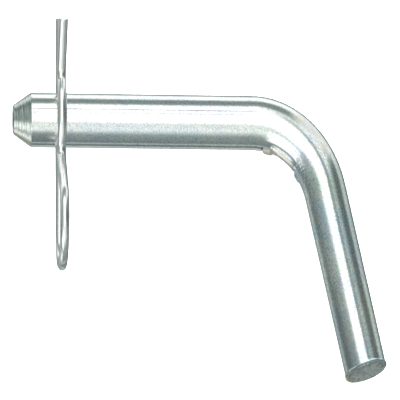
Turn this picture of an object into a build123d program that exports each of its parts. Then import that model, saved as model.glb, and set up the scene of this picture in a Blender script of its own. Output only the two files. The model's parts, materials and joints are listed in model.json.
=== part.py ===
from build123d import *
import math
import os

# Hitch pin with a one-wire spring clip, in millimetres, lying flat with +Z up.
# The origin is where the axis of the cross hole meets the axis of the shank. The shank runs
# along X with its tip at -X, and the handle leg turns away towards -Y in the XY plane.

# Bent pin
PIN_DIAMETER = 15.875
HOLE_TO_BEND = 71.8
HOLE_TO_TIP = 18.3
BEND_RADIUS = 28.8
BEND_ANGLE = 75.0
LEG_LENGTH = 58.6
LEG_END_CHAMFER = 0.9

# Tapered tip
TIP_FLAT_DIAMETER = 8.2
TIP_TAPER_LENGTH = 7.0
TIP_EDGE_ROUND = 0.6

# Cross hole, turned about the shank from the plane that the leg lies in
HOLE_TURN = 9.0
HOLE_CLEARANCE = 1.03
COUNTERSINK_DIAMETER = 8.0
COUNTERSINK_ANGLE = 90.0
CUT_OVERRUN = 2.0

# Wire clip, in its own plane: u runs along the straight leg and v towards the bow
WIRE_DIAMETER = 3.57
WIRE_END_CHAMFER = 0.3
LOOP_INSIDE_DIAMETER = 20.4
STRUT_SLOPE = 48.0
BOW_SLOPE = 40.0
FLARE_SLOPE = 35.0
FLARE_LENGTH = 15.5
KINK_RADIUS = 4.2
BOW_OFFSET = 1.0
BOW_CLEARANCE = 0.28
BOW_SLACK = 3.28
STRAIGHT_LEG_PAST_PIN = 22.1

# Worked out from the sizes above
PIN_RADIUS = PIN_DIAMETER / 2
WIRE_RADIUS = WIRE_DIAMETER / 2
HOLE_DIAMETER = WIRE_DIAMETER + HOLE_CLEARANCE
LOOP_RADIUS = LOOP_INSIDE_DIAMETER / 2 + WIRE_RADIUS
BOW_RADIUS = PIN_RADIUS + WIRE_RADIUS + BOW_SLACK

HOLE_TURN_COS = math.cos(math.radians(HOLE_TURN))
HOLE_TURN_SIN = math.sin(math.radians(HOLE_TURN))
CLIP_PLANE = Plane(origin=(0, 0, 0), x_dir=(0, HOLE_TURN_COS, HOLE_TURN_SIN), z_dir=(1, 0, 0))


def slope_direction(slope):
    """The unit direction in the clip's plane that climbs at this slope as u grows."""
    angle = math.radians(slope)
    return Vector(math.cos(angle), math.sin(angle))


def slope_normal(slope):
    """The direction square to a slope, on its upper side."""
    angle = math.radians(slope)
    return Vector(-math.sin(angle), math.cos(angle))


def shank():
    """The round bar from the taper to the bend."""
    taper_base = TIP_TAPER_LENGTH - HOLE_TO_TIP
    start = Plane(origin=(taper_base, 0, 0), z_dir=(1, 0, 0))
    return extrude(start * Circle(PIN_RADIUS), HOLE_TO_BEND - taper_base)


def tip_taper():
    """The cone that leads the pin into its hole, with its end face's edge rounded."""
    base = Plane(origin=(TIP_TAPER_LENGTH - HOLE_TO_TIP, 0, 0), z_dir=(-1, 0, 0))
    cone = base * Cone(
        PIN_RADIUS,
        TIP_FLAT_DIAMETER / 2,
        TIP_TAPER_LENGTH,
        align=(Align.CENTER, Align.CENTER, Align.MIN),
    )
    return fillet(cone.edges().filter_by(GeomType.CIRCLE).sort_by(Axis.X)[0], TIP_EDGE_ROUND)


def bend_and_leg():
    """The swept bend and the straight handle leg, with the leg's sheared end chamfered."""
    bend = JernArc((HOLE_TO_BEND, 0, 0), (1, 0, 0), BEND_RADIUS, -BEND_ANGLE)
    leg_way = bend % 1
    section = Plane(origin=bend @ 0, z_dir=bend % 0) * Circle(PIN_RADIUS)
    bent = sweep(section, path=bend)
    leg = extrude(Plane(origin=bend @ 1, z_dir=leg_way) * Circle(PIN_RADIUS), LEG_LENGTH)
    along_leg = Axis(bend @ 1, leg_way)
    end_rim = leg.edges().filter_by(GeomType.CIRCLE).sort_by(along_leg)[-1]
    return bent + chamfer(end_rim, LEG_END_CHAMFER)


def cross_hole():
    """The hole for the clip's straight leg, countersunk where it leaves the pin."""
    half_angle = math.radians(COUNTERSINK_ANGLE / 2)
    rim_reach = PIN_RADIUS + CUT_OVERRUN
    rim_radius = COUNTERSINK_DIAMETER / 2 + CUT_OVERRUN * math.tan(half_angle)
    sink_depth = (rim_radius - HOLE_DIAMETER / 2) / math.tan(half_angle)
    hole_way = CLIP_PLANE.x_dir
    cut = Plane(origin=(0, 0, 0), z_dir=hole_way) * Cylinder(HOLE_DIAMETER / 2, 2 * rim_reach)
    for way in (hole_way, -hole_way):
        mouth = Plane(origin=way * (rim_reach - sink_depth), z_dir=way)
        cut += mouth * Cone(
            HOLE_DIAMETER / 2,
            rim_radius,
            sink_depth,
            align=(Align.CENTER, Align.CENTER, Align.MIN),
        )
    return cut


def bent_pin():
    return shank() + tip_taper() + bend_and_leg() - cross_hole()


def clip_points():
    """The centre-line's joining points in the clip's plane, from the loop to the flared tip."""
    bow_rise = BOW_SLACK - BOW_CLEARANCE
    bow_centre = Vector(BOW_OFFSET, -math.sqrt(bow_rise**2 - BOW_OFFSET**2))
    bow_end = bow_centre + slope_normal(-BOW_SLOPE) * BOW_RADIUS
    bow_start = bow_centre + slope_normal(BOW_SLOPE) * BOW_RADIUS
    low_kink = bow_start + slope_normal(BOW_SLOPE) * KINK_RADIUS
    strut_end = low_kink - slope_normal(-STRUT_SLOPE) * KINK_RADIUS

    slope = math.radians(STRUT_SLOPE)
    loop_top = LOOP_RADIUS * (1 + math.cos(slope))
    strut_length = (loop_top - strut_end.Y) / math.sin(slope)
    strut_start = strut_end - slope_direction(-STRUT_SLOPE) * strut_length
    loop_u = strut_start.X - LOOP_RADIUS * math.sin(slope)
    return {
        "leg_end": Vector(PIN_RADIUS + STRAIGHT_LEG_PAST_PIN, 0),
        "loop_start": Vector(loop_u, 0),
        "strut_start": strut_start,
        "strut_end": strut_end,
        "bow_start": bow_start,
        "bow_end": bow_end,
    }


def wire_along(path):
    """Round wire swept along a path drawn in the clip's plane."""
    placed = CLIP_PLANE * path
    section = Plane(origin=placed @ 0, z_dir=placed % 0) * Circle(WIRE_RADIUS)
    return sweep(section, path=placed)


def cut_end(wire, way):
    """The wire with the rim of its end face, the furthest one this way, broken by a chamfer."""
    rims = wire.edges().filter_by(GeomType.CIRCLE)
    return chamfer(rims.sort_by(Axis((0, 0, 0), way))[-1], WIRE_END_CHAMFER)


def clip_straight_leg(points):
    line = Line(points["loop_start"], points["leg_end"])
    return cut_end(wire_along(line), CLIP_PLANE.x_dir)


def clip_loop(points):
    turn = -(180 + STRUT_SLOPE)
    return wire_along(JernArc(points["loop_start"], (-1, 0), LOOP_RADIUS, turn))


def clip_bowed_leg(points):
    """The strut from the loop, the bow over the pin between two kinks, and the flared tip."""
    strut = Line(points["strut_start"], points["strut_end"])
    low_kink = JernArc(strut @ 1, strut % 1, KINK_RADIUS, STRUT_SLOPE + BOW_SLOPE)
    bow = JernArc(low_kink @ 1, low_kink % 1, BOW_RADIUS, -2 * BOW_SLOPE)
    high_kink = JernArc(bow @ 1, bow % 1, KINK_RADIUS, BOW_SLOPE + FLARE_SLOPE)
    flare = Line(high_kink @ 1, high_kink @ 1 + high_kink % 1 * FLARE_LENGTH)
    path = Wire([strut.edge(), low_kink.edge(), bow.edge(), high_kink.edge(), flare.edge()])
    return cut_end(wire_along(path), CLIP_PLANE.x_dir)


def build():
    points = clip_points()
    parts = {
        "bent_pin": bent_pin(),
        "clip_straight_leg": clip_straight_leg(points),
        "clip_loop": clip_loop(points),
        "clip_bowed_leg": clip_bowed_leg(points),
    }
    os.makedirs("parts", exist_ok=True)
    for name, solid in parts.items():
        export_step(solid, f"parts/{name}.step")
    return parts


if __name__ == "__main__":
    build()
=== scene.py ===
import json
import math

import bpy
import numpy as np
from mathutils import Matrix, Vector


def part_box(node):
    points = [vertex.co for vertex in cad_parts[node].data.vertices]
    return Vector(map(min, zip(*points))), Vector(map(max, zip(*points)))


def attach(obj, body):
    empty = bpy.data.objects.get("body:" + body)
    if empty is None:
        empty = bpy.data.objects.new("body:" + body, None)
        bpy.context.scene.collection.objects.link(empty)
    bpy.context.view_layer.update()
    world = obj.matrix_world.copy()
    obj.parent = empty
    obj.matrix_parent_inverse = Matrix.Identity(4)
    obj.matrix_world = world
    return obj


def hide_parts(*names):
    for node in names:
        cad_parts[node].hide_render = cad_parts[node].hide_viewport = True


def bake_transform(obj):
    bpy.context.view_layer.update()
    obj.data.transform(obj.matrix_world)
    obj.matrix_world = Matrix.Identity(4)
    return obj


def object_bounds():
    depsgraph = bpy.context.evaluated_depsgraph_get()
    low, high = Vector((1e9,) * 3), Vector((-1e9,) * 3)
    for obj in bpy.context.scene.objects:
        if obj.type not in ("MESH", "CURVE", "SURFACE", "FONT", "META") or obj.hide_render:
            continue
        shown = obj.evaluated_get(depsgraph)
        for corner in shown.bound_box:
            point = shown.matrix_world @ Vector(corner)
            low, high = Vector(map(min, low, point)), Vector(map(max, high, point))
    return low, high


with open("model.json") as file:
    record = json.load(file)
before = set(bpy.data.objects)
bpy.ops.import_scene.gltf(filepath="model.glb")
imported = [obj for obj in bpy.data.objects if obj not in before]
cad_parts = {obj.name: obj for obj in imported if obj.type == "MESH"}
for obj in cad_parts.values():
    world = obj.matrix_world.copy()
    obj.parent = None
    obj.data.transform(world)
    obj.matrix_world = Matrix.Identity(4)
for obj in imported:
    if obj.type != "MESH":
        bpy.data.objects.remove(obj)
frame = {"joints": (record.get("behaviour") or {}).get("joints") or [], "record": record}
cad_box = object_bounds()

MM = 0.001
DEGREES = 180 / math.pi

# The bar's sizes in millimetres, from the record where it holds them. The rest repeat the part's.
MOUNTS = {mount["name"]: mount for mount in frame["record"]["mounts"]}
BAR_RADIUS = MOUNTS["shank"]["dims"]["r_mm"]
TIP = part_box("bent_pin")[0].x / MM
SHANK_WALL = MOUNTS["shank"]["dims"]["length_mm"]
LEG_WALL = MOUNTS["handle_leg"]["dims"]["length_mm"]
LEG_WAY = Vector(MOUNTS["handle_leg"]["axis"])
LEG_MIDDLE = Vector(MOUNTS["handle_leg"]["pos_m"]) / MM
BEND_ANGLE = math.acos(LEG_WAY.x)
LEG_START = LEG_MIDDLE - LEG_WAY * LEG_WALL / 2
BEND_RADIUS = -LEG_START.y / (1 - math.cos(BEND_ANGLE))
BEND_AT = LEG_START.x - BEND_RADIUS * math.sin(BEND_ANGLE)
TAPER_BASE = BEND_AT - SHANK_WALL
BEND_LENGTH = BEND_RADIUS * BEND_ANGLE
LEG_CHAMFER = 0.9
LEG_AT = BEND_AT + BEND_LENGTH
BAR_END = LEG_AT + LEG_WALL + LEG_CHAMFER
TIP_FACE_RADIUS = 4.1
TIP_EDGE_ROUND = 0.6
HOLE_RADIUS = 2.3
SINK_RADIUS = 4.0

# The wire's sizes in its own plane, in millimetres: u along the straight leg, v towards the bow.
PULL = next(j for j in frame["joints"] if j["name"] == "clip_pull")
PULL_TRAVEL = 50.0
SPRING = next(j for j in frame["joints"] if j["name"] == "clip_spring")
CLIP_U = -Vector(PULL["axis"]).normalized()
CLIP_V = Vector((1, 0, 0)).cross(CLIP_U)
LOOP_CENTRE = Vector(SPRING["pos_m"]) / MM
LOOP_RADIUS = LOOP_CENTRE.dot(CLIP_V)
LOOP_U = LOOP_CENTRE.dot(CLIP_U)
WIRE_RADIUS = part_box("clip_straight_leg")[1].x / MM
WIRE_CHAMFER = 0.3
LEG_PAST_BAR = 22.1
STRUT_SLOPE = math.radians(48)
BOW_SLOPE = math.radians(40)
FLARE_SLOPE = math.radians(35)
KINK_RADIUS = 4.2
BOW_OFFSET = 1.0
BOW_CLEARANCE = 0.28
BOW_SLACK = 3.28
BOW_RADIUS = BAR_RADIUS + WIRE_RADIUS + BOW_SLACK
FLARE_LENGTH = 15.5
# Where the loop starts along the wire for the finish, so that its clouds differ from the leg's.
LOOP_ALONG = 100.0
# How far the wire leans in its hole and is twisted out of flat, for each millimetre of u and v.
WIRE_LEAN = 0.011
WIRE_TWIST = 0.032
# The place along u where the lean starts from, which sets the wire off centre in its hole.
LEAN_FROM = 36.0

# Where the middle of each mark of the bender's tooling is, past the start of the bend.
NICK_AT = 5.4
LIP_AT = 9.0
SHELF_AT = 17.6
CHATTER_AT = 25.6
SCUFF_AT = 29.5

# How finely the skins are divided.
BAR_SIDES = 200
WIRE_SIDES = 40
DRILL_SIDES = 48

# Colours of the plate, of the marks on it, and of the painted highlights and shade laid over it.
ZINC = (0.81, 0.84, 0.82, 1)
BLUE_CLOUD = (0.60, 0.74, 0.82, 1)
GREEN_CLOUD = (0.68, 0.79, 0.72, 1)
VIOLET_VEIL = (0.64, 0.62, 0.80, 1)
STRAW_VEIL = (0.85, 0.81, 0.68, 1)
GREY_FROST = (0.43, 0.48, 0.48, 1)
BRIGHT_SPECK = (1.0, 1.0, 0.97, 1)
PLAIN_WIRE = (0.90, 0.87, 0.85, 1)
TURNED_GREY_AND_TOP_SHADE = (0.34, 0.41, 0.38, 1)
PAINTED_GLINT_STRAW = (0.90, 0.86, 0.74, 1)
TIP_TAN = (0.72, 0.66, 0.52, 1)
DRAW_LINE = (0.16, 0.12, 0.12, 1)
PRESSED_STRAW_AND_HIGHLIGHT = (0.84, 0.80, 0.68, 1)
CREASE_SHADOW = (0.16, 0.15, 0.12, 1)
SCUFF_GREY = (0.58, 0.66, 0.68, 1)
RUBBED_STRAW = (0.86, 0.84, 0.72, 1)
CUT_STEEL = (0.84, 0.85, 0.81, 1)
CUT_BRIGHT = (0.96, 0.97, 0.93, 1)
CUT_DARK = (0.42, 0.45, 0.42, 1)
CORNER_OCHRE = (0.60, 0.57, 0.38, 1)
ROLLED_RIM_SHADE = (0.30, 0.33, 0.31, 1)
BARE_EDGE = (0.94, 0.92, 0.84, 1)
PAINTED_SHADE_GREY = (0.42, 0.44, 0.45, 1)
TABLE_DIM = (0.93, 0.93, 0.93, 1)
TABLE_PALE = (0.96, 0.96, 0.96, 1)
WHITE = (1, 1, 1, 1)


class Socket:
    """A socket in a shader, which arithmetic signs join to Math nodes."""

    def __init__(self, tree, socket=None):
        self.tree = tree
        self.socket = socket

    def node(self, kind, settings=None, sockets=None, out=0):
        """Adds a node: its settings first, then the values or links of its sockets."""
        node = self.tree.nodes.new("ShaderNode" + kind)
        for name, setting in (settings or {}).items():
            if name == "stops":
                ramp = node.color_ramp.elements
                ramp.remove(ramp[1])
                ramp[0].position = setting[0][0]
                for index, (place, level) in enumerate(setting):
                    stop = ramp.new(place) if index else ramp[0]
                    stop.color = (level, level, level, 1)
            else:
                setattr(node, name, setting)
        for name, value in (sockets or {}).items():
            if isinstance(value, Socket):
                self.tree.links.new(value.socket, node.inputs[name])
            else:
                node.inputs[name].default_value = value
        return Socket(self.tree, node.outputs[out] if node.outputs else None)

    def maths(self, operation, *others):
        return self.node("Math", {"operation": operation}, dict(enumerate((self, *others))))

    def __add__(self, other):
        return self.maths("ADD", other)

    __radd__ = __add__

    def __mul__(self, other):
        return self.maths("MULTIPLY", other)

    __rmul__ = __mul__

    def __sub__(self, other):
        return self.maths("SUBTRACT", other)

    def __rsub__(self, other):
        return self.node("Math", {"operation": "SUBTRACT"}, {0: other, 1: self})

    def __truediv__(self, other):
        return self.maths("DIVIDE", other)

    def rise(self, low, high):
        """Nought below low and one above high, with a smooth climb between them."""
        return self.node(
            "MapRange",
            {"interpolation_type": "SMOOTHSTEP"},
            {"Value": self, "From Min": low, "From Max": high},
        )

    def fall(self, low, high):
        return 1 - self.rise(low, high)

    def near(self, place, half, soft):
        """One within half of a place, fading to nought over a soft edge."""
        return (self - place).maths("ABSOLUTE").fall(half, half + soft)

    def blend(self, first, second):
        """The first colour where this is nought, and the second where it is one.

        A colour Mix has its factor at socket 0, its colours at 6 and 7, and its result at 2.
        """
        return self.node("Mix", {"data_type": "RGBA"}, {0: self, 6: first, 7: second}, 2)

    def stretched(self, scale):
        return self.node("VectorMath", {"operation": "MULTIPLY"}, {0: self, 1: scale})

    def noise(self, scale, detail=3.0, roughness=0.55, **more):
        sockets = {"Vector": self, "Scale": scale, "Detail": detail, "Roughness": roughness}
        return self.node("TexNoise", {}, sockets | more, "Fac")

    def split(self):
        parts = self.node("SeparateXYZ", {}, {0: self}).socket.node
        return [Socket(self.tree, output) for output in parts.outputs]


def shader_of(owner):
    """An empty shader tree on a new material or world."""
    owner.use_nodes = True
    owner.node_tree.nodes.clear()
    return Socket(owner.node_tree)


# Studio

OVERHEAD = 1.62
SIDES_LEVEL = 1.45
# How bright the studio looks from the object, by degrees from straight up, on each side.
STUDIO_SIDES = {
    "front": (
        (20, 0.8), (32, 0.7), (45, 0.7), (54, 0.76), (62, 0.68), (68, 0.54), (74, 0.41),
        (80, 0.3), (88, 0.25), (96, 0.235), (112, 0.2), (122, 0.18), (127, 0.22), (130, 0.42),
        (134, 0.42), (138, 0.17), (150, 0.13), (157, 0.36), (166, 0.46), (180, 0.36),
    ),
    "back": (
        (22, 0.3), (37, 0.38), (46, 0.8), (54, 0.5), (60, 0.23), (80, 0.21), (87, 0.5),
        (93, 1.0), (111, 1.0), (121, 0.5), (130, 0.24), (150, 0.2), (180, 0.2),
    ),
    "right": (
        (12, 0.4), (22, 0.2), (34, 0.12), (44, 0.07), (60, 0.09), (88, 0.1), (98, 0.22),
        (106, 0.23), (116, 0.16), (130, 0.13), (180, 0.2),
    ),
    "left": (
        (20, 0.9), (30, 0.6), (38, 0.42), (50, 0.32), (70, 0.26), (86, 0.17), (102, 0.15),
        (116, 0.22), (130, 0.44), (146, 0.3), (180, 0.2),
    ),
}
# Boxes between the sides, in degrees: way round from the back, half width, place from
# straight up and half height, and then how bright the box is.
STUDIO_BOXES = {
    "front_left_box": (-141, 19, 67, 20, 1.0),
    "front_left_glow": (-140, 10, 114, 10, 0.8),
    "back_right_box": (34, 6, 74, 34, 0.75),
}
STUDIO_TINT = (0.868, 1.0, 0.966, 1)


def studio_world():
    """What the metal reflects: one long light overhead and dimmer sides, with a pale backdrop."""
    world = bpy.data.worlds.new("studio")
    bpy.context.scene.world = world
    tree = shader_of(world)
    direction = tree.node("TexCoord", {}, {}, "Generated")
    across, along, up = direction.split()
    flat = (across * across + along * along + 1e-6).maths("SQRT")
    from_top = flat.maths("ARCTAN2", up) / math.pi
    shares = {
        "front": (0 - along / flat).maths("MAXIMUM", 0.0),
        "back": (along / flat).maths("MAXIMUM", 0.0),
        "right": (across / flat).maths("MAXIMUM", 0.0),
        "left": (0 - across / flat).maths("MAXIMUM", 0.0),
    }
    level = 0.0
    for side, stops in STUDIO_SIDES.items():
        ramp = from_top.node(
            "ValToRGB",
            {"stops": [(degrees / 180, brightness) for degrees, brightness in stops]},
            {0: from_top},
        )
        level = level + ramp * shares[side] * shares[side] * SIDES_LEVEL
    tilt = along.maths("ARCTAN2", up) * DEGREES
    round_from_back = across.maths("ARCTAN2", along) * DEGREES
    for turn, half_width, place, half_height, brightness in STUDIO_BOXES.values():
        box = round_from_back.near(turn, half_width, 9)
        box = box * (from_top * 180).near(place, half_height, 7)
        level = level + box * (brightness * SIDES_LEVEL - level)
    strip = tilt.rise(-31, -19) * tilt.fall(46, 58)
    strip = strip * across.rise(-0.62, -0.4) * across.fall(0.08, 0.2)
    level = level + strip * (OVERHEAD - level)
    tint = (level / SIDES_LEVEL).rise(0.2, 0.9).blend(STUDIO_TINT, WHITE)
    multiply = {"data_type": "RGBA", "blend_type": "MULTIPLY"}
    colour = tree.node("Mix", multiply, {0: 1.0, 6: level, 7: tint}, 2)
    glow = tree.node("Background", {}, {"Color": colour})
    backdrop = tree.node("Background", {}, {"Color": WHITE})
    seen = tree.node("LightPath", {}, {}, "Is Camera Ray")
    shown = tree.node("MixShader", {}, {0: seen, 1: glow, 2: backdrop})
    tree.node("OutputWorld", {}, {"Surface": shown})


def floor():
    """A pale table top with room over it for the clip as it is pulled down and out."""
    low, high = cad_box
    middle = (low + high) / 2
    reach = 3.0
    room = max(low.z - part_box("clip_loop")[0].z, 0) + CLIP_U.z * PULL_TRAVEL * MM
    steps = np.linspace(-reach, reach, 13)
    points = [(middle.x + x, middle.y + y, low.z - room) for y in steps for x in steps]
    across = len(steps)
    corners = [row * across + col for row in range(across - 1) for col in range(across - 1)]
    faces = [(at, at + 1, at + across + 1, at + across) for at in corners]
    mesh = bpy.data.meshes.new("table_top")
    mesh.from_pydata(points, [], faces)
    top = bpy.data.objects.new("table_top", mesh)
    bpy.context.scene.collection.objects.link(top)
    material = bpy.data.materials.new("pale_table")
    tree = shader_of(material)
    grain = tree.node("TexCoord", {}, {}, "Object").noise(60)
    colour = grain.blend(TABLE_DIM, TABLE_PALE)
    matt = {"Base Color": colour, "Roughness": 0.9, "Specular IOR Level": 0.0}
    paint = tree.node("BsdfPrincipled", {}, matt)
    tree.node("OutputMaterial", {}, {"Surface": paint})
    mesh.materials.append(material)
    top.visible_glossy = False


def lights():
    """Soft boxes that light the table and show no shape of their own in the metal."""
    for name, place, size, watts in (
        ("overhead_box", (0.05, 0.0, 1.2), 2.4, 95),
        ("front_box", (0.3, -1.6, 1.1), 1.6, 22),
    ):
        lamp = bpy.data.lights.new(name, "AREA")
        lamp.shape = "DISK"
        lamp.size = size
        lamp.energy = watts
        box = bpy.data.objects.new(name, lamp)
        box.location = place
        box.rotation_euler = (-Vector(place)).to_track_quat("-Z", "Y").to_euler()
        box.visible_glossy = False
        bpy.context.scene.collection.objects.link(box)


def turned(first, second, angle):
    """Two square directions, each turned by the angle in the plane that they lie in."""
    cos, sin = math.cos(angle), math.sin(angle)
    return first * cos + second * sin, second * cos - first * sin


def camera():
    """A long lens from 70 degrees up. Its holder stretches the view upwards."""
    height, turn, roll = math.radians(70), math.radians(3.6), math.radians(0.59)
    stretch = 1.285
    lens, sensor = 1000.0, 36.0
    width, aim_right, aim_down = 151.2, 52.27, 23.32
    back = Vector((0, -math.cos(height), math.sin(height)))
    up = Vector((0, math.sin(height), math.cos(height)))
    right = Vector((1, 0, 0))
    right, back = turned(right, back, turn)
    right, up = turned(right, up, roll)
    target = (right * aim_right - up * aim_down) * MM
    place = target + back * width / sensor * lens * MM
    lean = math.sqrt(1 - 1 / stretch**2)
    tall = up / stretch - back * lean
    view = bpy.data.cameras.new("studio_camera")
    view.lens = lens
    view.sensor_width = sensor
    view.clip_start = 0.1
    view.clip_end = 50
    eye = bpy.data.objects.new("studio_camera", view)
    holder = bpy.data.objects.new("camera_holder", None)
    for item in (eye, holder):
        bpy.context.scene.collection.objects.link(item)
    eye.parent = holder
    eye.matrix_parent_inverse = Matrix(
        [(right[i], tall[i], back[i], place[i]) for i in range(3)] + [(0, 0, 0, 1)]
    )
    bpy.context.scene.camera = eye


# Bent pin

def bar_place(along):
    """Centre, direction and outward side of the bar at distances from the cross hole."""
    bent = np.clip(along, BEND_AT, LEG_AT)
    turn = (bent - BEND_AT) / BEND_RADIUS
    zero = np.zeros_like(turn)
    way = np.stack((np.cos(turn), -np.sin(turn), zero), -1)
    out = np.stack((np.sin(turn), np.cos(turn), zero), -1)
    corner = np.array((BEND_AT, -BEND_RADIUS, 0.0))
    straight = along - bent
    centre = corner + out * BEND_RADIUS + way * straight[:, None]
    return centre, way, out


def straightened(points):
    """Where each point of the bent bar would be on the same bar before it was bent."""
    corner = np.array((BEND_AT, -BEND_RADIUS))
    x, y = (points[:, :2] - corner).T
    turn = np.clip(np.arctan2(x, y), 0, BEND_ANGLE)
    past = x * np.cos(turn) - y * np.sin(turn)
    side = x * np.sin(turn) + y * np.cos(turn) - BEND_RADIUS
    return np.stack((BEND_AT + turn * BEND_RADIUS + past, side, points[:, 2]), -1)


def bar_profile():
    """Distance along and radius of each ring, from the tip's face to the sheared end."""
    rows = [(TIP + 0.05 * math.cos(r * 5), r) for r in np.arange(0.3, TIP_FACE_RADIUS - 0.55, 0.2)]
    cone_slope = (BAR_RADIUS - TIP_FACE_RADIUS) / (TAPER_BASE - TIP)
    for step in np.linspace(0, 1, 6):
        turn = step * math.radians(60)
        back = TIP_EDGE_ROUND * (1 - math.cos(turn)) * 0.9
        rows.append((TIP + back, TIP_FACE_RADIUS - 0.5 + TIP_EDGE_ROUND * math.sin(turn)))
    for along in np.arange(TIP + 0.5, TAPER_BASE - 0.05, 0.12):
        groove = 0.014 * math.sin(along * 11.2) + 0.012 * math.sin(along * 7.1 + 1)
        groove = groove + 0.02 * math.sin(along * 2.7)
        fade = min(1.0, (TAPER_BASE - along) / 0.8)
        cone = TIP_FACE_RADIUS + 0.12 + (along - TIP) * cone_slope * 0.985
        rows.append((along, cone + groove * fade))
    rows.append((TAPER_BASE, BAR_RADIUS))
    rows.append((TAPER_BASE + 0.25, BAR_RADIUS + 0.02))
    for start, stop, step in (
        (TAPER_BASE + 0.6, -5.5, 0.8),
        (-5.4, 5.5, 0.4),
        (5.8, BEND_AT - 4, 1.6),
        (BEND_AT - 3, LEG_AT + 3, 0.36),
        (LEG_AT + 4, BAR_END - 4, 1.6),
        (BAR_END - 3.6, BAR_END - LEG_CHAMFER, 0.3),
    ):
        rows += [(along, BAR_RADIUS) for along in np.arange(start, stop, step)]
    for step in np.linspace(0, 1, 6):
        turn = step * math.pi / 2
        back, inward = LEG_CHAMFER * (1 - math.sin(turn)), LEG_CHAMFER * (1 - math.cos(turn))
        rows.append((BAR_END - back, BAR_RADIUS - inward))
    rows += [(BAR_END, r) for r in np.arange(BAR_RADIUS - 1.2, 0.3, -0.25)]
    return np.array(rows).T


def smooth(value, low, high):
    value = np.clip((value - low) / (high - low), 0, 1)
    return value * value * (3 - 2 * value)


def between(value, low, high, soft):
    return smooth(value, low - soft, low) * (1 - smooth(value, high, high + soft))


def bender_marks(along, angle):
    """How far the bender's tooling has raised or dented the bar, by distance and angle."""
    turn = np.degrees(angle)
    past = along - BEND_AT
    crest = -79 + 4.5 * ((past - SHELF_AT) / 6) ** 2
    pressed = between(past, SHELF_AT - 6.2, SHELF_AT + 6.2, 1.6)
    shelf = 0.34 * smooth(turn, crest - 2, crest) * (1 - smooth(turn, crest + 1, crest + 9))
    flat = -0.42 * (1 - smooth(turn, crest - 3, crest - 1)) * smooth(turn, -155, -128)
    lip = smooth(past, LIP_AT - 3.4, LIP_AT - 2.4) * (1 - smooth(past, LIP_AT - 0.4, LIP_AT + 3.6))
    lip = 0.5 * lip * between(turn, -130, -90, 9)
    nick = -0.3 * between(past, NICK_AT - 0.1, NICK_AT + 0.1, 0.5) * between(turn, -118, -82, 6)
    step = 0.4 * smooth(past, 24.6, 26) * (1 - smooth(past, 28.2, 30)) * between(turn, -130, -92, 8)
    dents = 0.05 * np.sin(past * 2.9 + turn * 0.21) * np.sin(past * 1.3 - turn * 0.33)
    scuffed = between(past, SCUFF_AT - 4.5, SCUFF_AT + 4.5, 2.5) * between(turn, -90, -48, 8)
    return pressed * (shelf + flat) + lip + nick + step + dents * scuffed


def sheared_end(along, radius, angle):
    """How far the cut end's rim is rolled, spread and pushed along, at each distance and angle."""
    top = (1 + np.cos(angle)) / 2
    end = smooth(along, BAR_END - 1.4, BAR_END)
    outer = np.clip(radius / BAR_RADIUS, 0, 1)
    roll = (BAR_RADIUS - radius) * (0.4 + 0.9 * top - 1) * (outer > 0.9) * (along > BAR_END - 1.2)
    spread = end * outer**6 * (0.2 + 0.42 * np.sin(angle) ** 4 + 0.05 * np.sin(5 * angle + 1))
    push = end * (-0.1 - 0.45 * top * outer**4 + 0.05 * np.sin(3 * angle + 2) * outer)
    ridges = 0.035 * np.sin(9 * radius * np.cos(angle - 0.4)) * (along > BAR_END - 0.05)
    return spread - roll, push + ridges


def ring_mesh(name, points, first_middle, last_middle):
    """A skin over rings of points, closed at each end by a fan round its middle."""
    rings, sides = points.shape[:2]
    verts = [tuple(point) for point in points.reshape(-1, 3)]
    edges = [
        [(row * sides + col, row * sides + (col + 1) % sides) for col in range(sides)]
        for row in range(rings)
    ]
    faces = [
        (*edge, *reversed(following))
        for ring, next_ring in zip(edges, edges[1:])
        for edge, following in zip(ring, next_ring)
    ]
    for middle, ring, order in ((first_middle, edges[0], -1), (last_middle, edges[-1], 1)):
        faces += [(*edge, len(verts))[::order] for edge in ring]
        verts.append(tuple(middle))
    mesh = bpy.data.meshes.new(name)
    mesh.from_pydata(verts, [], faces)
    mesh.transform(Matrix.Scale(MM, 4))
    mesh.update()
    item = bpy.data.objects.new(name, mesh)
    bpy.context.scene.collection.objects.link(item)
    return item


def soften(item, crease):
    """Smooth shading with edges kept sharp where they turn by more than the crease."""
    item.data.polygons.foreach_set("use_smooth", [True] * len(item.data.polygons))
    item.data.set_sharp_from_angle(angle=math.radians(crease))


def mark_places(item, places):
    """Stores where each point is along its bar or wire, in millimetres, for the finish."""
    store = item.data.attributes.new("place", "FLOAT_VECTOR", "POINT")
    store.data.foreach_set("vector", places.astype(np.float32).ravel())


def cut_cross_hole(pin):
    """Drills and countersinks the hole for the clip's straight leg."""
    overrun = 2
    reach, mouth = BAR_RADIUS + overrun, SINK_RADIUS + overrun
    sink_depth = mouth - HOLE_RADIUS
    rows = (
        (-reach, mouth),
        (-reach + sink_depth, HOLE_RADIUS),
        (reach - sink_depth, HOLE_RADIUS),
        (reach, mouth),
    )
    turns = np.linspace(0, 2 * math.pi, DRILL_SIDES, endpoint=False)
    u, v = np.array(CLIP_U), np.array(CLIP_V)
    points = np.array([
        [u * along + radius * (np.array((math.cos(t), 0, 0)) + v * math.sin(t)) for t in turns]
        for along, radius in rows
    ])
    drill = ring_mesh("drill", points, u * -reach, u * reach)
    cut = pin.modifiers.new("cross_hole", "BOOLEAN")
    cut.object = drill
    cut.solver = "EXACT"
    bpy.context.view_layer.update()
    evaluated = pin.evaluated_get(bpy.context.evaluated_depsgraph_get())
    drilled = bpy.data.meshes.new_from_object(evaluated)
    pin.modifiers.clear()
    pin.data = drilled
    bpy.data.objects.remove(drill)


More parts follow.
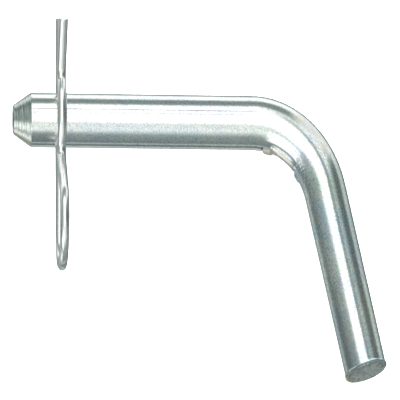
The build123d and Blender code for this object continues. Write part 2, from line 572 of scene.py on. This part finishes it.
def bent_pin():
    along, radius = bar_profile()
    angle = np.linspace(-math.pi, math.pi, BAR_SIDES, endpoint=False)
    centre, way, out = bar_place(along)
    up = np.array((0.0, 0.0, 1.0))
    full = np.clip(radius / BAR_RADIUS, 0, 1)[:, None]
    spread, push = sheared_end(along[:, None], radius[:, None], angle[None, :])
    reach = radius[:, None] + bender_marks(along[:, None], angle[None, :]) * full + spread
    points = (
        centre[:, None]
        + way[:, None] * push[..., None]
        + out[:, None] * (reach * np.sin(angle))[..., None]
        + up * (reach * np.cos(angle))[..., None]
    )
    pin = ring_mesh("bent_pin_bar", points, centre[0] - way[0] * 0.02, centre[-1])
    cut_cross_hole(pin)
    spots = np.array([vert.co for vert in pin.data.vertices]) / MM
    mark_places(pin, straightened(spots))
    soften(pin, crease=28)
    pin.data.materials.clear()
    pin.data.materials.append(plated_bar())
    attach(pin, "pin")
    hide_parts("bent_pin")


# Wire clip

def slope_way(slope):
    return np.array((math.cos(slope), math.sin(slope)))


def slope_up(slope):
    return np.array((-math.sin(slope), math.cos(slope)))


def arc(start, slope, radius, turn, count):
    """Points and slopes along an arc in the clip's plane, turning left for a positive turn."""
    side = math.copysign(1, turn)
    middle = start + slope_up(slope) * radius * side
    slopes = slope + np.linspace(0, turn, count)
    points = [middle - slope_up(s) * radius * side for s in slopes]
    return np.array(points), slopes


def line(start, slope, length, count):
    points = [start + slope_way(slope) * d for d in np.linspace(0, length, count)]
    return np.array(points), np.full(count, slope)


def joined(runs):
    """Runs end to end, with the point that two runs share kept once."""
    points = [runs[0][0]] + [run[0][1:] for run in runs[1:]]
    slopes = [runs[0][1]] + [run[1][1:] for run in runs[1:]]
    return np.concatenate(points), np.concatenate(slopes)


def wire_runs():
    """The straight leg, the loop and the bowed leg, each as points and slopes."""
    joint = np.array((LOOP_U, 0.0))
    leg = line(joint, 0.0, BAR_RADIUS + LEG_PAST_BAR - LOOP_U, count=90)
    loop = arc(joint, math.pi, LOOP_RADIUS, -(math.pi + STRUT_SLOPE), count=110)
    strut_start = loop[0][-1]
    bow_rise = BOW_SLACK - BOW_CLEARANCE
    bow_middle = np.array((BOW_OFFSET, -math.sqrt(bow_rise**2 - BOW_OFFSET**2)))
    bow_start = bow_middle + slope_up(BOW_SLOPE) * BOW_RADIUS
    strut_end = bow_start + (slope_up(BOW_SLOPE) - slope_up(-STRUT_SLOPE)) * KINK_RADIUS
    strut_length = float(np.linalg.norm(strut_end - strut_start))
    strut = line(strut_start, -STRUT_SLOPE, strut_length, count=30)
    low_kink = arc(strut[0][-1], -STRUT_SLOPE, KINK_RADIUS, STRUT_SLOPE + BOW_SLOPE, count=20)
    bow = arc(low_kink[0][-1], BOW_SLOPE, BOW_RADIUS, -2 * BOW_SLOPE, count=44)
    high_kink = arc(bow[0][-1], -BOW_SLOPE, KINK_RADIUS, BOW_SLOPE + FLARE_SLOPE, count=20)
    flare = line(high_kink[0][-1], FLARE_SLOPE, FLARE_LENGTH, count=34)
    return leg, loop, joined((strut, low_kink, bow, high_kink, flare))


def wire_piece(name, run, start_along, open_end):
    """Round wire along a run, with its cut end's rim broken where it has one."""
    points, slopes = run
    steps = np.concatenate(([0.0], np.cumsum(np.linalg.norm(np.diff(points, axis=0), axis=1))))
    rings = [(*place, WIRE_RADIUS, along) for *place, along in zip(points, slopes, steps)]
    if open_end:
        last, slope, way = points[-1], slopes[-1], slope_way(slopes[-1])
        rings[-1] = (last - way * WIRE_CHAMFER, slope, WIRE_RADIUS, steps[-1] - WIRE_CHAMFER)
        for step in np.linspace(0.25, 1, 4):
            turn = step * math.pi / 2
            back = WIRE_CHAMFER * (1 - math.sin(turn))
            edge = WIRE_RADIUS - WIRE_CHAMFER * (1 - math.cos(turn))
            rings.append((last - way * back, slope, edge, steps[-1] - back))
        for inner in (1.1, 0.8, 0.5, 0.2):
            rings.append((last, slope, inner, steps[-1]))
    turns = np.linspace(0, 2 * math.pi, WIRE_SIDES, endpoint=False)
    u, v, x = np.array(CLIP_U), np.array(CLIP_V), np.array((1.0, 0.0, 0.0))
    grid, places = [], []
    for point, slope, r, along in rings:
        up = slope_up(slope)
        side = u * up[0] + v * up[1]
        drift = WIRE_LEAN * (point[0] - LEAN_FROM) + WIRE_TWIST * point[1]
        centre = u * point[0] + v * point[1] + x * drift
        grid.append([centre + r * (x * math.cos(t) + side * math.sin(t)) for t in turns])
        places += [(start_along + along, r * math.cos(t), r * math.sin(t)) for t in turns]
    grid = np.array(grid)
    middles = [grid[0].mean(0), grid[-1].mean(0)]
    piece = ring_mesh(name, grid, *middles)
    places += [(start_along, 0, 0), (start_along + steps[-1], 0, 0)]
    mark_places(piece, np.array(places))
    soften(piece, crease=40)
    return piece, start_along + steps[-1]


def wire_clip():
    """The clip's one wire as three pieces, whose ends share their rings."""
    leg, loop, bowed = wire_runs()
    finish = plated_wire()
    leg_piece, _ = wire_piece("clip_straight_leg_wire", leg, 0.0, True)
    loop_piece, loop_end = wire_piece("clip_loop_wire", loop, LOOP_ALONG, False)
    bowed_piece, _ = wire_piece("clip_bowed_leg_wire", bowed, loop_end, True)
    for piece in (leg_piece, loop_piece, bowed_piece):
        piece.data.materials.append(finish)
    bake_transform(leg_piece)
    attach(bowed_piece, "clip_bow")
    top = CLIP_V * (bowed[0][0][1] - WIRE_RADIUS)
    top * MM
    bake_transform(loop_piece)
    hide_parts("clip_straight_leg")
    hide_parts("clip_loop")
    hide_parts("clip_bowed_leg")


# Finish

class Plate:
    """Bright zinc plate over drawn steel, which marks are laid over one by one."""

    def __init__(self, name, fineness, plain_end=None):
        """The plate's clouds, frost and specks, which are strongest past a plain end."""
        self.material = bpy.data.materials.new(name)
        self.tree = shader_of(self.material)
        place = self.tree.node("Attribute", {"attribute_name": "place"}, {}, "Vector")
        clouds = place.stretched((0.7, 1, 1)).noise(0.1 * fineness, 3, Distortion=0.4)
        veils = place.stretched((0.5, 1, 1)).noise(0.17 * fineness, 4, Distortion=0.8)
        streaks = place.stretched((0.03, 1, 1)).noise(2.4 * fineness, 3)
        frost = place.noise(1.6 * fineness, 2, 0.7)
        specks = place.noise(3.1 * fineness, 1)
        strong = 1.0
        if plain_end is not None:
            strong = 0.5 + 0.5 * place.split()[0].rise(plain_end + 10, plain_end + 36)
        self.place = place
        self.colour = (clouds.rise(0.46, 0.58) * strong).blend(ZINC, BLUE_CLOUD)
        self.cover(clouds.fall(0.4, 0.47) * strong, GREEN_CLOUD)
        self.cover(veils.rise(0.54, 0.64) * strong * 0.8, VIOLET_VEIL)
        self.cover(veils.fall(0.34, 0.43) * strong * 0.6, STRAW_VEIL)
        self.cover(frost.rise(0.46, 0.6) * (0.2 + 0.5 * strong), GREY_FROST)
        self.cover(specks.rise(0.53, 0.64) * 0.75, BRIGHT_SPECK)
        self.rough = 0.1 + 0.05 * clouds + 0.05 * streaks.rise(0.5, 0.8)
        self.rough = self.rough + 0.08 * frost.rise(0.5, 0.7)
        self.relief = place.stretched((0.4, 1, 1)).noise(0.3 * fineness, 2) * 0.05
        self.relief = self.relief + streaks * 0.003 + frost * 0.006 + specks * 0.002

    def cover(self, mask, colour):
        self.colour = mask.blend(self.colour, colour)

    def finish(self, metallic=1.0):
        relief = {"Strength": 0.6, "Distance": MM, "Height": self.relief}
        looks = {
            "Base Color": self.colour,
            "Metallic": metallic,
            "Roughness": self.rough,
            "Normal": self.tree.node("Bump", {}, relief),
        }
        metal = self.tree.node("BsdfPrincipled", {}, looks)
        self.tree.node("OutputMaterial", {}, {"Surface": metal})
        return self.material


def plated_wire():
    """The wire's plate, plainer and less clouded than the bar's."""
    plate = Plate("plated_spring_wire", 1.8)
    plate.cover(0.55 + 0.2 * plate.place.noise(0.3, 2), PLAIN_WIRE)
    plate.rough = plate.rough + 0.05
    return plate.finish(metallic=0.989)


def plated_bar():
    """The bar's plate, with the turned tip, the bender's scuffs and the sheared end."""
    plate = Plate("plated_bar", 1.0, plain_end=BEND_AT)
    along, side, up = plate.place.split()
    turn = side.maths("ARCTAN2", up) * DEGREES
    from_axis = (side * side + up * up).maths("SQRT")
    grain = plate.place.noise(1.2, 3, 0.7)
    coarse = plate.place.noise(0.5, 3, 0.6)
    past = along - BEND_AT

    # The turned cone and the tip's face. The cone's grey is partly its turned rings' own tone and
    # partly painted shade on its top side; its straw is a painted glint on its lower front side.
    cone = along.fall(TAPER_BASE - 0.1, TAPER_BASE)
    rings = plate.place.stretched((1, 0.04, 0.04)).noise(4.2, 3, 0.7).rise(0.42, 0.6)
    # Painted shade: the cone is darker on its top side.
    painted_shade_top = turn.rise(-30, -20) * turn.fall(38, 60)
    plate.cover(cone * (0.15 + 0.4 * rings + 0.35 * painted_shade_top), TURNED_GREY_AND_TOP_SHADE)
    # Painted glint: a straw highlight on the cone's lower front side.
    plate.cover(cone * turn.near(-82, 14, 8) * 0.6, PAINTED_GLINT_STRAW)
    tip_face = along.fall(TIP + 0.1, TIP + 0.3)
    plate.cover(tip_face * coarse.rise(0.4, 0.6) * 0.5, TIP_TAN)
    plate.rough = plate.rough + cone * 0.05
    plate.relief = plate.relief + cone * rings * 0.012

    # Two lines left along the shank when the bar was drawn
    worn = plate.place.stretched((0.06, 1, 1)).noise(0.8, 2).rise(0.36, 0.52)
    drawn = turn.near(5, 0.7, 0.8) * (0.45 + 0.25 * worn) + turn.near(-3, 0.5, 0.8) * 0.4 * worn
    plate.cover(drawn * past.fall(-4, 6) * (1 - cone), DRAW_LINE)

    # What the bender's tooling pressed, scuffed and rubbed, with a painted highlight along the
    # pressed shelf and painted shadow in its crease and in the nick
    # Straw on the shelf is a painted highlight along its ridge; on the lip it is a straw tint.
    shelf = past.near(SHELF_AT, 6, 1.2) * turn.near(-74, 3, 3)
    lip = past.near(LIP_AT, 2.4, 1.2) * turn.near(-106, 22, 8)
    plate.cover((shelf + lip) * 0.85, PRESSED_STRAW_AND_HIGHLIGHT)
    # Painted shadow: a dark line in the crease under the shelf and in the nick.
    crease = past.near(SHELF_AT, 6, 1) * turn.near(-80.5, 1.6, 2.4)
    crease = crease + past.near(NICK_AT, 0.35, 0.4) * turn.near(-102, 18, 5)
    plate.cover(crease * (0.55 + 0.4 * grain), CREASE_SHADOW)
    scuff = past.near(SCUFF_AT, 4, 3) * turn.near(-66, 18, 8)
    plate.cover(scuff * grain.rise(0.4, 0.62) * 0.75, SCUFF_GREY)
    rubbed = past.near(22, 6, 4) * turn.near(35, 9, 8) * coarse.rise(0.34, 0.54)
    plate.cover(rubbed * 0.6, RUBBED_STRAW)
    plate.rough = plate.rough + shelf * 0.16 + lip * 0.35 + scuff * 0.1 + rubbed * 0.2
    across = plate.tree.node("TexCoord", {}, {}, "Object").split()[0]
    chatter = (across * (2 * math.pi / 0.45 / MM)).maths("SINE")
    chatter = chatter * past.near(CHATTER_AT, 1.8, 1) * turn.near(-47, 7, 3)
    pressed = scuff * grain * 0.08 + (shelf + lip) * grain * 0.06
    plate.relief = plate.relief + chatter * 0.02 + pressed

    # The sheared face of the leg's end, its rolled edge and its rim, with painted shade under the
    # rolled top edge
    at_end = along.rise(BAR_END - 0.5, BAR_END - 0.2)
    cut = at_end * from_axis.fall(BAR_RADIUS - 0.7, BAR_RADIUS - 0.3)
    rim = along.rise(BAR_END - 1.5, BAR_END - 0.9) - cut
    plate.cover(cut * (0.5 + 0.5 * coarse), CUT_STEEL)
    plate.cover(cut * coarse.rise(0.5, 0.58) * 0.5, CUT_BRIGHT)
    plate.cover(cut * coarse.fall(0.4, 0.48) * 0.7, CUT_DARK)
    corner = cut.rise(0, 1) * side.fall(-BAR_RADIUS + 1, -BAR_RADIUS + 4)
    corner = corner + rim * side.fall(-BAR_RADIUS, -BAR_RADIUS + 2)
    plate.cover(corner * coarse.rise(0.38, 0.6) * 0.8, CORNER_OCHRE)
    # Painted shade: a dark line on the face under the rolled top edge.
    rolled = from_axis.near(BAR_RADIUS - 1.25, 0.2, 0.35) * at_end * up.rise(-1, 2)
    plate.cover(rolled * 0.75, ROLLED_RIM_SHADE)
    plate.cover(rim * grain.rise(0.5, 0.62) * 0.6, BARE_EDGE)
    plate.rough = plate.rough + cut * 0.22
    plate.relief = plate.relief + cut * (coarse * 0.25 + grain * 0.1)

    # Painted shade beside the hole and down the leg, and the bare edges of the hole's mouths
    painted_shade = along.fall(-7, 1) * turn.near(-60, 13, 6) * (1 - cone)
    painted_shade = painted_shade + along.rise(LEG_AT + 22, BAR_END) * turn.near(-52, 26, 12)
    plate.cover(painted_shade * (0.25 + 0.35 * coarse), PAINTED_SHADE_GREY)
    mouths = along.near(0, SINK_RADIUS, 1.0) * (turn.near(81, 14, 6) + turn.near(-99, 12, 6))
    plate.cover(mouths * grain.rise(0.45, 0.6) * 0.5, BARE_EDGE)
    plate.relief = plate.relief + mouths * grain * 0.08
    return plate.finish()


scene = bpy.context.scene
scene.view_settings.view_transform = "Standard"
camera()
studio_world()
floor()
lights()
bent_pin()
wire_clip()
